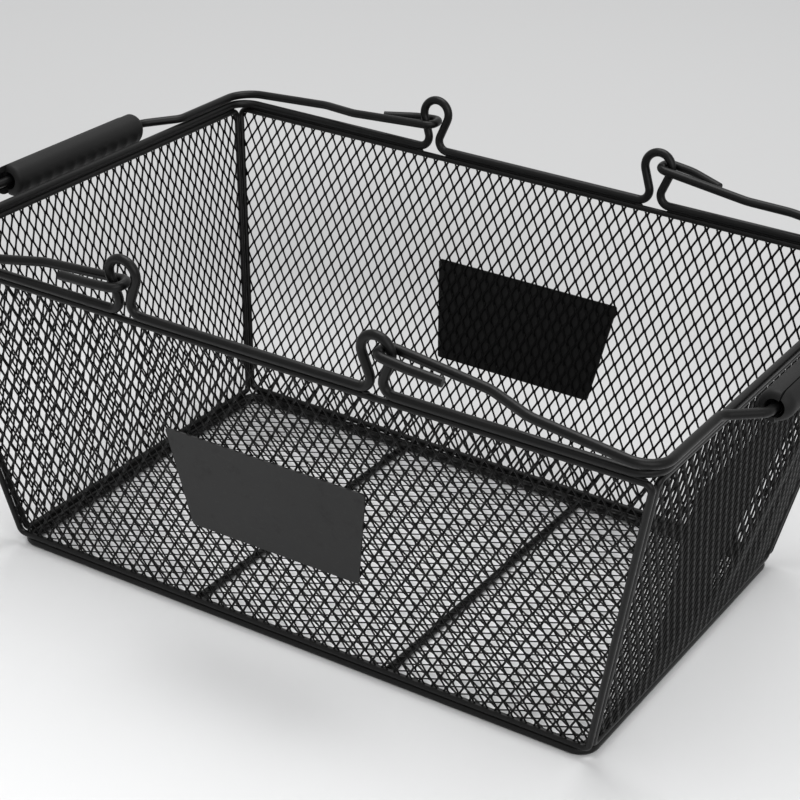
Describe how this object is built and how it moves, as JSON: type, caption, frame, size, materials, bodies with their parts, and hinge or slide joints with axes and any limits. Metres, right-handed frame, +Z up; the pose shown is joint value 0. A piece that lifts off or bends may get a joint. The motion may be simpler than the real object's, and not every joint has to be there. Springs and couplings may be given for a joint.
{
  "type": "wire basket",
  "caption": "Flared basket of black expanded metal in wire frames, with a looped rim wire, flat label plates and drop handles with split plastic grips.",
  "frame": {"origin": "on the floor under the middle of the basket", "axes": "+Z up, +X along the basket's length towards the right handle, -Y towards the front wall"},
  "size_m": [0.4775, 0.3132, 0.215],
  "materials": {
    "black_wire": "satin black powder coat",
    "black_net": "satin black powder coat",
    "black_plate": "satin black powder coat",
    "grip_plastic": "matte"
  },
  "bodies": {
    "basket": {"rim_wire": "black_wire", "base_ring": "black_wire", "front_frame": "black_wire", "back_frame": "black_wire", "left_frame": "black_wire", "right_frame": "black_wire", "floor_frame": "black_wire", "left_floor_bar": "black_wire", "right_floor_bar": "black_wire", "front_mesh": "black_net", "back_mesh": "black_net", "left_mesh": "black_net", "right_mesh": "black_net", "floor_mesh": "black_net", "front_plate": "black_plate", "back_plate": "black_plate"},
    "left_handle": {"left_handle_wire": "black_wire", "left_grip_inner": "grip_plastic", "left_grip_outer": "grip_plastic"},
    "right_handle": {"right_handle_wire": "black_wire", "right_grip_inner": "grip_plastic", "right_grip_outer": "grip_plastic"}
  },
  "joints": [
    {"name": "left_handle_hinge", "type": "hinge", "parent": "basket", "child": "left_handle", "pos_m": [-0.07265, 0, 0.1988], "axis": [0, 1, 0], "range_deg": [0, 119]},
    {"name": "right_handle_hinge", "type": "hinge", "parent": "basket", "child": "right_handle", "pos_m": [0.07525, 0, 0.2056], "axis": [0, -1, 0], "range_deg": [0, 121]}
  ]
}
